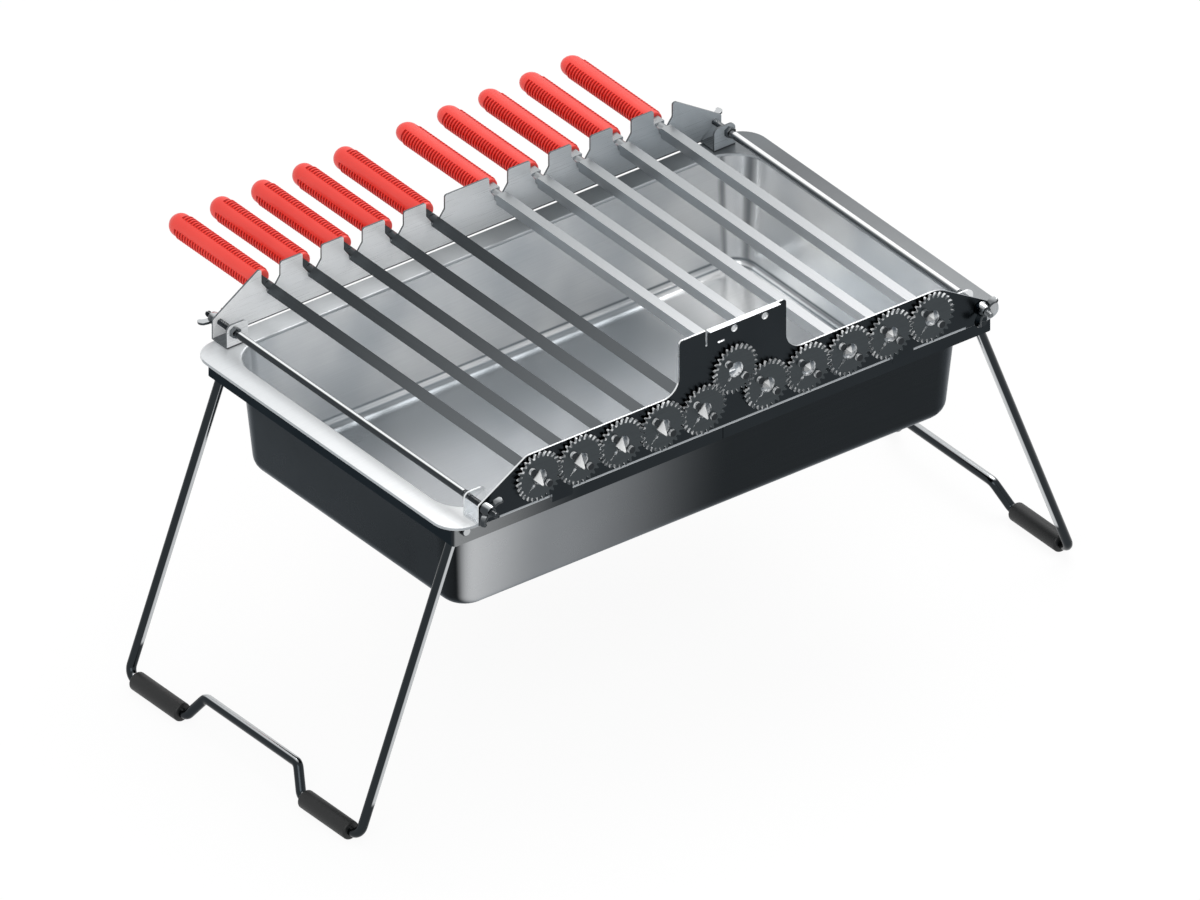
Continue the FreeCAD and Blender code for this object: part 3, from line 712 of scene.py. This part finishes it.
# A rounded rectangle at an inset from the rim's edge and a drop below the rim
def loopAt(inset, drop, corner, steps):
    halfX = (panHigh.x - panLow.x) / 2 - inset * mm
    halfY = (panHigh.y - panLow.y) / 2 - inset * mm
    radius = corner * mm
    points = []
    for k, (signX, signY) in enumerate(((1, 1), (-1, 1), (-1, -1), (1, -1))):
        for s in range(steps + 1):
            angle = math.radians(90 * k + 90 * s / steps)
            points.append(panMiddle + Vector((
                signX * (halfX - radius) + radius * math.cos(angle),
                signY * (halfY - radius) + radius * math.sin(angle), -drop * mm)))
    return points


# Rows of (inset, drop, corner) down one side of the wall and round the floor fillet
def wallRows(offset, fillet, top, floorDrop, p):
    draft = math.radians(p["draft"])
    flat = p["rimFlat"] + offset
    middleDrop = floorDrop - fillet
    middleInset = flat + middleDrop * math.tan(draft) + fillet / math.cos(draft)
    rows = [(flat + top * math.tan(draft), top, p["wallCorner"] - offset)]
    for k in range(p["bendSteps"] + 1):
        angle = draft + (math.pi / 2 - draft) * k / p["bendSteps"]
        inset = middleInset - fillet * math.cos(angle)
        corner = p["wallCorner"] - offset - (inset - flat) * p["floorCornerShare"]
        rows.append((inset, middleDrop + fillet * math.sin(angle), corner))
    return rows


def makePan(p):
    sheet = p["sheet"]
    inner = wallRows(sheet, p["floorFillet"] - sheet, p["shoulder"], p["depth"] - sheet, p)
    outer = wallRows(0.0, p["floorFillet"], sheet + p["underShoulder"], p["depth"], p)
    rows = list(reversed(inner))
    slope = math.tan(math.radians(p["draft"]))
    shoulderInset = p["rimFlat"] + sheet - p["shoulder"] + p["shoulder"] * slope
    for k in range(1, p["bendSteps"] + 1):
        angle = math.radians(90 * k / p["bendSteps"])
        inset = shoulderInset + p["shoulder"] * math.cos(angle)
        corner = p["wallCorner"] - (p["rimFlat"] - inset) * p["rimCornerShare"]
        rows.append((inset, p["shoulder"] * (1 - math.sin(angle)), corner))
    for k in range(p["bendSteps"] + 1):
        angle = math.radians(90 * k / p["bendSteps"])
        inset = p["edgeRound"] * (1 - math.sin(angle))
        rows.append((inset, p["edgeRound"] * (1 - math.cos(angle)), p["rimCorner"]))
    outsideFrom = len(rows)
    rows += [
        (0.0, p["lip"], p["rimCorner"]), (sheet, p["lip"], p["rimCorner"] - sheet),
        (sheet, sheet, p["rimCorner"] - sheet), (p["rimFlat"], sheet, p["wallCorner"]), *outer]
    loops = [
        loopAt(inset, drop, max(corner, p["leastCorner"]), p["cornerSteps"])
        for inset, drop, corner in rows]
    count = len(loops[0])
    faces = sideFaces(len(loops), count) + endFaces(len(loops), count)
    finish = [1 if r >= outsideFrom else 0 for r in range(len(loops) - 1) for k in range(count)]
    pan = meshObject(
        "panShell", [v for loop in loops for v in loop], faces, [satinPan, outsideSteel],
        faceMaterial=finish + [0, 1])
    return cleanMesh(pan, p["sharp"])


pan = makePan(panShape)
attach(pan, "pan")
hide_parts("pan")
print("pan made")


# Wire legs: a smooth bent rod with rounded stub ends, and its rubber sleeves
legShape = {
    "wire": 8.0, "splay": 20.7, "length": 260.0, "pivotBend": 6.0, "footBend": 9.0,
    "handRise": 21.0, "handLength": 115.0, "handSlope": 14.0, "handBend": 7.0, "sideY": 144.0,
    "stubY": 157.2, "endRound": 0.8, "around": 20, "bendSteps": 8, "sharp": 30,
}


# Points along straight runs joined by arcs
def bentPath(points, radii, steps):
    path = [points[0]]
    for i in range(1, len(points) - 1):
        here = points[i]
        back = (points[i - 1] - here).normalized()
        ahead = (points[i + 1] - here).normalized()
        half = back.angle(ahead) / 2
        middle = here + (back + ahead).normalized() * (radii[i] / math.sin(half))
        first = here + back * (radii[i] / math.tan(half)) - middle
        last = here + ahead * (radii[i] / math.tan(half)) - middle
        turn = first.rotation_difference(last)
        for s in range(steps + 1):
            path.append(middle + Matrix.Rotation(turn.angle * s / steps, 3, turn.axis) @ first)
    return path + [points[-1]]


# A tube round a path in the YZ plane, with its ends rounded off
def tubeAlong(name, path, radius, endRound, material, p):
    last = len(path) - 1
    rings = []
    for i, point in enumerate(path):
        ahead = (path[min(last, i + 1)] - path[max(0, i - 1)]).normalized()
        rings.append((point, ahead, radius))
    start, startAhead = rings[0][:2]
    end, endAhead = rings[-1][:2]
    rings = [
        (start, startAhead, radius - endRound),
        (start + startAhead * endRound, startAhead, radius), *rings[1:-1],
        (end - endAhead * endRound, endAhead, radius), (end, endAhead, radius - endRound)]
    vertices = []
    sideways = Vector((1, 0, 0))
    for point, ahead, size in rings:
        other = ahead.cross(sideways).normalized()
        for k in range(p["around"]):
            angle = 2 * math.pi * k / p["around"]
            vertices.append(
                point + (sideways * math.cos(angle) + other * math.sin(angle)) * size)
    faces = sideFaces(len(rings), p["around"]) + endFaces(len(rings), p["around"])
    return cleanMesh(meshObject(name, vertices, faces, [material]), p["sharp"])


def legPlacement(side):
    joint = [j for j in frame["joints"] if j["name"] == "leg_fold_" + side][0]
    sign = -1 if side == "left" else 1
    turn = Matrix.Rotation(math.radians(-sign * legShape["splay"]), 4, "Y")
    return Matrix.Translation(Vector(joint["pos_m"])) @ turn


def makeLeg(side, p):
    half = p["handLength"] / 2
    foot = -p["length"]
    corners = [
        (-p["stubY"], 0), (-p["sideY"], 0), (-p["sideY"], foot), (-half - p["handSlope"], foot),
        (-half, foot + p["handRise"]), (half, foot + p["handRise"]),
        (half + p["handSlope"], foot), (p["sideY"], foot), (p["sideY"], 0), (p["stubY"], 0),
    ]
    points = [Vector((0, y * mm, z * mm)) for y, z in corners]
    bends = [0, p["pivotBend"], p["footBend"]] + [p["handBend"]] * 4
    bends += [p["footBend"], p["pivotBend"], 0]
    path = bentPath(points, [b * mm for b in bends], p["bendSteps"])
    leg = tubeAlong(
        "wireLeg_" + side, path, p["wire"] / 2 * mm, p["endRound"] * mm, wireSteel, p)
    return placed(leg, legPlacement(side))


sleeveShape = {
    "outer": 15.5, "length": 57.75, "near": 134.0, "endRound": 1.5, "roundSteps": 5, "around": 32,
}


def makeSleeve(side, end, p):
    half = p["length"] / 2
    corner = p["endRound"]
    bore = legShape["wire"] / 2
    edge = p["outer"] / 2 - corner
    profile = [
        (bore, -half), *arcPoints((edge, corner - half), corner, -90, 0, p["roundSteps"]),
        *arcPoints((edge, half - corner), corner, 0, 90, p["roundSteps"]), (bore, half)]
    sleeve = turnedProfile(
        "footSleeve_%s_%s" % (end, side), profile, p["around"], [blackRubber])
    sign = -1 if end == "front" else 1
    middle = Vector((0, sign * (p["near"] - half) * mm, -legShape["length"] * mm))
    return placed(sleeve, legPlacement(side) @ Matrix.Translation(middle))


for side in ("left", "right"):
    leg = makeLeg(side, legShape)
    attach(leg, "leg_" + side)
    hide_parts("wire_leg_" + side)
    for end in ("front", "rear"):
        sleeve = makeSleeve(side, end, sleeveShape)
        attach(sleeve, "leg_" + side)
        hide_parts("foot_sleeve_%s_%s" % (end, side))
print("legs made")


# Handles: a moulded grip with a smooth band above and below and ribs down both sides. A rib's
# section is a list of (share of its height, share of its width).
handleShape = {
    "radius": 10.15, "length": 109.6, "mouthRadius": 0.2, "mouthRound": 1.5, "mouthSteps": 5,
    "tipSteps": 10, "rows": 8, "lead": 1.0, "around": 56, "ribs": 29, "ribPitch": 3.2,
    "firstRib": 4.2, "ribHeight": 0.8, "ribRoot": 1.3, "ribWidth": 2.1, "smoothHalfAngle": 28.0,
    "grooveMargin": 3.0, "ribSteps": 16, "endHeight": 0.25, "fadeRate": 7.0, "fadeLeast": 0.1,
    "crest": 0.4, "flank": 0.95, "thin": 0.83, "leftTurn": -45.0, "gripSharp": 60, "ribSharp": 50,
}
ribSection = [
    (0.0, -0.5), (0.62, -0.40), (0.92, -0.24), (1.0, 0.0), (0.92, 0.24), (0.62, 0.40), (0.0, 0.5)]


# Polypropylene of the ribs: painted light on their crests and painted shade down their flanks
def ribPlastic(p):
    material = redPolypropylene(
        "redPolypropyleneRib", "#E02C20", "#EA3B2E", 0.3, plasticTones)
    tree = material.node_tree
    shader = tree.nodes["Principled BSDF"]
    coords = addNode(tree, "ShaderNodeTexCoord")
    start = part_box("skewer_handle_1")[0].y + p["firstRib"] * mm
    away = mathOf(tree, "SUBTRACT", partOf(tree, coords.outputs["Object"], "Y"), start)
    wave = mathOf(tree, "PINGPONG", away, p["ribPitch"] / 2 * mm)
    flank = rising(tree, wave, p["crest"] * mm, p["flank"] * mm)
    crest = shader.inputs["Base Color"].links[0].from_socket
    linkShader(tree, shader, {"Base Color": mixColours(tree, flank, crest, "#A80F07")})
    return material


redRib = ribPlastic(handleShape)


# Core of the grip along +Y from its mouth, painted darker between the ribs as painted shade
def makeGrip(p):
    radius = p["radius"] - p["ribHeight"]
    straight = p["length"] - p["radius"]
    first = p["firstRib"]
    ribbed = p["ribs"] * p["ribPitch"]
    mouth = radius - p["mouthRound"]
    profile = [(p["mouthRadius"], 0.0), (mouth, 0.0)]
    profile += arcPoints((mouth, p["mouthRound"]), p["mouthRound"], -80, 0, p["mouthSteps"])
    profile += [(radius, first - p["lead"])]
    profile += [(radius, first + ribbed * k / p["rows"]) for k in range(p["rows"] + 1)]
    profile += [(radius, straight)]
    profile += [
        (x, straight + y * p["radius"] / radius)
        for x, y in arcPoints((0, 0), radius, 5, 88, p["tipSteps"])]
    grip = turnedProfile(
        "grip", profile, p["around"], [redPlastic, redGrooveShade, redRib], p["gripSharp"])
    for face in grip.data.polygons:
        middle = face.center
        offSide = abs(math.degrees(math.atan2(abs(middle.z), abs(middle.x))))
        alongRibs = first * mm < middle.y < (first + ribbed - p["ribPitch"]) * mm
        acrossRibs = offSide < 90 - p["smoothHalfAngle"] - p["grooveMargin"]
        face.material_index = 1 if alongRibs and acrossRibs else 0
    return grip


# One rib: two raised arcs, one on each side, that fade out at the smooth bands
def makeRib(p):
    vertices = []
    faces = []
    inner = p["radius"] - p["ribHeight"] * p["ribRoot"]
    count = len(ribSection)
    loops = p["ribSteps"] + 1
    for side in (0, 1):
        for s in range(loops):
            share = s / p["ribSteps"]
            angle = math.radians(
                180 * side - 90 + p["smoothHalfAngle"] + (180 - 2 * p["smoothHalfAngle"]) * share)
            fade = min(1.0, p["fadeRate"] * min(share, 1 - share) + p["fadeLeast"])
            rise = (p["radius"] - inner) * (p["endHeight"] + (1 - p["endHeight"]) * fade)
            for height, width in ribSection:
                r = (inner + rise * height) * mm
                vertices.append((
                    r * math.cos(angle), width * p["ribWidth"] * mm, r * math.sin(angle)))
        faces += sideFaces(loops, count, side * loops * count)
        faces += endFaces(loops, count, side * loops * count)
    rib = cleanMesh(meshObject("rib", vertices, faces, [redRib]), p["ribSharp"])
    return placed(rib, Matrix.Translation((0, p["firstRib"] * mm, 0)))


# The grip's section is an oval, thinner across its smooth bands
def makeHandle(p):
    ribs = repeated(makeRib(p), p["ribs"], (0, p["ribPitch"] * mm, 0), redRib)
    return placed(joinInto(makeGrip(p), [ribs]), Matrix.Diagonal((1, 1, p["thin"], 1)))


masterHandle = makeHandle(handleShape)
for number in skewerNumbers:
    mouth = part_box("skewer_handle_%d" % number)[0].y
    x, z = axisOf(number)
    turn = handleShape["leftTurn"] if number < driveNumber else 0
    place = Matrix.Translation((x, mouth, z)) @ Matrix.Rotation(math.radians(turn), 4, "Y")
    handle = copyOf(masterHandle, "handle_%d" % number, place)
    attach(handle, bodyOf(number))
    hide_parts("skewer_handle_%d" % number)
bpy.data.objects.remove(masterHandle)
print("handles made")


# Wing nuts: the ear is a root, an oval tip and a lower edge, all (out, along) from the seat
wingShape = {
    "bore": 2.55, "hubLow": 5.75, "hubTop": 4.5, "hubHeight": 8.0, "edge": 0.4, "taper": 0.2,
    "skirt": 2.0, "topRound": 0.6, "topEdge": 0.5, "around": 32, "thick": 2.2, "rimThick": 0.72,
    "bevel": 0.93, "earMiddle": (7.5, -6.0), "earRoot": [(3.6, -1.6), (8.0, -2.6), (11.6, -4.0)],
    "tip": (11.0, -7.6), "tipRadii": (2.4, 3.2), "tipFrom": 60, "tipStep": 20, "tipPoints": 9,
    "earEnd": [(9.4, -9.2), (6.6, -7.6), (3.6, -7.2)], "earSharp": 50,
    "restFront": 45.0, "restRear": 5.0,
}


def earOutline(p):
    tip = []
    for k in range(p["tipPoints"]):
        angle = math.radians(p["tipFrom"] - p["tipStep"] * k)
        tip.append((
            p["tip"][0] + p["tipRadii"][0] * math.cos(angle),
            p["tip"][1] + p["tipRadii"][1] * math.sin(angle)))
    return p["earRoot"] + tip + p["earEnd"]


# An ear in the XY plane, with its two faces drawn in from its rim
def makeEar(sign, p):
    outline = earOutline(p)
    middleX, middleY = p["earMiddle"]
    vertices = []
    for height, share in ((-1, p["bevel"]), (-1, 1.0), (1, 1.0), (1, p["bevel"])):
        level = height * p["thick"] / 2 * (p["rimThick"] if share == 1.0 else 1.0)
        for x, y in outline:
            vertices.append((
                sign * (middleX + (x - middleX) * share) * mm,
                (middleY + (y - middleY) * share) * mm, level * mm))
    faces = sideFaces(4, len(outline)) + endFaces(4, len(outline))
    return cleanMesh(meshObject("ear", vertices, faces, [wingSteel]), p["earSharp"])


# Drawn from its seat at Y = 0 towards -Y
def makeWingNut(p):
    top = -p["hubHeight"]
    profile = [
        (p["bore"], 0), (p["hubLow"] - p["edge"], 0), (p["hubLow"], -p["edge"]),
        (p["hubLow"] - p["taper"], -p["skirt"]), (p["hubTop"], top + p["topRound"]),
        (p["hubTop"] - p["topEdge"], top), (p["bore"], top)]
    nut = turnedProfile("wingNutHub", profile, p["around"], [wingSteel])
    return joinInto(nut, [makeEar(sign, p) for sign in (1, -1)])


masterWing = makeWingNut(wingShape)
for side in ("left", "right"):
    for end in ("front", "rear"):
        name = "wing_nut_%s_%s" % (end, side)
        low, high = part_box(name)
        seat, flip, rest = high.y, 0, wingShape["restFront"]
        if end == "rear":
            seat, flip, rest = low.y, 180, wingShape["restRear"]
        place = Matrix.Translation(((low.x + high.x) / 2, seat, (low.z + high.z) / 2))
        place = place @ Matrix.Rotation(math.radians(-rest), 4, "Y")
        place = place @ Matrix.Rotation(math.radians(flip), 4, "Z")
        nut = copyOf(masterWing, "wingNut_%s_%s" % (end, side), place)
        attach(nut, name)
        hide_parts(name)
bpy.data.objects.remove(masterWing)
print("nuts made")


# Tie rods: a chamfered middle and a threaded stud at each end
rodShape = {
    "radius": 3.0, "chamfer": 0.45, "step": 140.5, "root": 2.1, "rootEdge": 0.5, "pitch": 0.8,
    "thread": [(2.0, 0.0), (2.47, 0.33), (2.47, 0.43), (2.0, 0.76)], "end": 181.0,
    "endChamfer": 0.8, "around": 28, "sharp": 30, "threadSharp": 20,
}


def makeTieRod(side, material, p):
    low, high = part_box("tie_rod_" + side)
    root, step, chamfer = p["root"], p["step"], p["chamfer"]
    profile = [
        (root - p["rootEdge"], -p["end"]), (root, p["rootEdge"] - p["end"]), (root, -step),
        (p["radius"] - chamfer, -step), (p["radius"], chamfer - step)]
    profile += [(r, -d) for r, d in reversed(profile)]
    rod = turnedProfile("tieRod_" + side, profile, p["around"], [material], p["sharp"])
    count = int((p["end"] - p["endChamfer"] - step) / p["pitch"])
    threads = []
    for sign, start in ((-1, -step - p["pitch"]), (1, step)):
        ring = turnedProfile(
            "threadRing", p["thread"], p["around"], [material], p["threadSharp"], closed=False)
        placed(ring, Matrix.Translation((0, start * mm, 0)))
        threads.append(repeated(ring, count, (0, sign * p["pitch"] * mm, 0), material))
    return placed(joinInto(rod, threads), Matrix.Translation((low + high) / 2))


for side, rodSteel in (("left", leftRodSteel), ("right", rightRodSteel)):
    rod = makeTieRod(side, rodSteel, rodShape)
    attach(rod, "rack")
    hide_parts("tie_rod_" + side)
print("tie rods made")


# Pins: two short studs riveted into each gear
pinShape = {
    "radius": 2.95, "proud": 2.8, "edge": 0.3, "fromAxis": 10.8, "angles": (135.0, 315.0),
    "around": 28, "sharp": 30,
}


def makePins(number, p):
    x, z = axisOf(number)
    low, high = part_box("gear_%d" % number)
    profile = [
        (p["radius"] - p["edge"], -p["proud"]), (p["radius"], p["edge"] - p["proud"]),
        (p["radius"], (high.y - low.y) / mm)]
    pins = []
    for angle in p["angles"]:
        pin = turnedProfile("pin_%d" % number, profile, p["around"], [pinSteel], p["sharp"])
        turn = math.radians(angle)
        out = p["fromAxis"] * mm
        pins.append(placed(pin, Matrix.Translation((
            x + out * math.cos(turn), low.y, z + out * math.sin(turn)))))
    return joinInto(pins[0], pins[1:])


for number in gearNumbers:
    pins = makePins(number, pinShape)
    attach(pins, bodyOf(number))
print("pins made")


# The two upright sheets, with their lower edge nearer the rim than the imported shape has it
sheetShape = {
    "edge": 4.0, "frontGap": 1.8, "rearGap": 0.3, "reach": 0.05, "sharp": 20, "merge": 0.002,
}


def makeSheet(node, gap, material, p):
    source = frame["nodes"][node]
    item = source.copy()
    item.data = source.data.copy()
    item.name = node + "_dressed"
    bpy.context.scene.collection.objects.link(item)
    item.data.materials.clear()
    item.data.materials.append(material)
    for vertex in item.data.vertices:
        if abs(vertex.co.z - rimZ - p["edge"] * mm) < p["reach"] * mm:
            vertex.co.z = rimZ + gap * mm
    return cleanMesh(item, p["sharp"], p["merge"])


for node, gap, material in (
        ("front_gear_plate", sheetShape["frontGap"], plateSteel),
        ("rear_comb_plate", sheetShape["rearGap"], combSheet)):
    sheet = makeSheet(node, gap, material, sheetShape)
    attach(sheet, "rack")
    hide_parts(node)
print("sheets made")


# Finishes of the nodes that keep their own shape
def dress(node, material):
    item = frame["nodes"][node]
    item.data.materials.clear()
    item.data.materials.append(material)


dress("frame_band", bandSteel)
dress("hex_nuts", nutSteel)
for number in gearNumbers:
    dress("gear_%d" % number, stampedSteel)
    dress("hub_%d" % number, bushSteel)
for number in skewerNumbers:
    dress("skewer_blade_%d" % number, leftBlade if number < driveNumber else rightBlade)
print("finishes given")


# Floor, light and camera
studio = {"floor": 4.0, "floorColour": "#FAFAFA", "world": 0.75, "glow": 0.92}
white = (1, 1, 1, 1)


# 1 where the camera, a reflection or a view through glass looks, 0 where the studio lights the
# part
def seenDirectly(tree):
    path = addNode(tree, "ShaderNodeLightPath")
    seen = path.outputs["Is Camera Ray"]
    for name in ("Is Glossy Ray", "Is Transmission Ray"):
        seen = mathOf(tree, "MAXIMUM", seen, path.outputs[name])
    return seen


# The floor shows nearly white, lights the part as a pale floor does and keeps its shadow
def makeFloor(p):
    half = p["floor"] / 2
    paint, tree, shader = startMaterial("paleFloor", p["floorColour"], 0.0, 0.9)[:3]
    share = between(tree, seenDirectly(tree), 0.0, p["glow"])
    glow = addNode(tree, "ShaderNodeEmission", {}, {"Color": white, "Strength": 1.0})
    both = addNode(tree, "ShaderNodeMixShader", {}, {
        0: share, 1: shader.outputs[0], 2: glow.outputs[0]})
    tree.links.new(both.outputs[0], tree.nodes["Material Output"].inputs["Surface"])
    corners = [(-half, -half, 0), (half, -half, 0), (half, half, 0), (-half, half, 0)]
    return meshObject("floor", corners, [(0, 1, 2, 3)], [paint], smooth=False)


# The sky shows as plain white and lights the part at a lower level
def makeWorld(p):
    world = bpy.data.worlds.new("studioWorld")
    bpy.context.scene.world = world
    world.use_nodes = True
    tree = world.node_tree
    tree.nodes.clear()
    strength = between(tree, seenDirectly(tree), p["world"], 1.0)
    sky = addNode(tree, "ShaderNodeBackground", {}, {"Color": white, "Strength": strength})
    addNode(tree, "ShaderNodeOutputWorld", {}, {0: sky.outputs[0]})


lamps = {
    "target": (0, 0, 0.2),
    "keyLamp": {"place": (1.2, 0.6, 2.4), "size": 1.8, "power": 35},
    "fillLamp": {"place": (-1.8, -1.6, 1.8), "size": 1.6, "power": 25},
}


def addLamp(name, target, p):
    data = bpy.data.lights.new(name, "AREA")
    data.size = p["size"]
    data.energy = p["power"]
    lamp = bpy.data.objects.new(name, data)
    bpy.context.scene.collection.objects.link(lamp)
    lamp.location = p["place"]
    towards = Vector(target) - Vector(p["place"])
    lamp.rotation_euler = towards.to_track_quat("-Z", "Y").to_euler()


view = {
    "azimuth": -37.228, "elevation": 32.183, "pixelsPerMm": 1.3249, "width": 1200,
    "middleX": 0.6, "middleDrop": 107.6, "distance": 3.0, "clipEnd": 20.0,
}


def makeCamera(p):
    data = bpy.data.cameras.new("camera")
    data.type = "ORTHO"
    data.ortho_scale = p["width"] / p["pixelsPerMm"] * mm
    data.clip_end = p["clipEnd"]
    camera = bpy.data.objects.new("camera", data)
    bpy.context.scene.collection.objects.link(camera)
    a = math.radians(p["azimuth"])
    e = math.radians(p["elevation"])
    back = Vector((math.sin(a) * math.cos(e), -math.cos(a) * math.cos(e), math.sin(e)))
    target = panMiddle + Vector((p["middleX"] * mm, 0, -p["middleDrop"] * mm))
    camera.location = target + back * p["distance"]
    camera.rotation_euler = (-back).to_track_quat("-Z", "Y").to_euler()
    bpy.context.scene.camera = camera


floor = makeFloor(studio)
makeWorld(studio)
for name in ("keyLamp", "fillLamp"):
    addLamp(name, lamps["target"], lamps[name])
makeCamera(view)
bpy.context.scene.view_settings.view_transform = "Standard"
print("studio made")
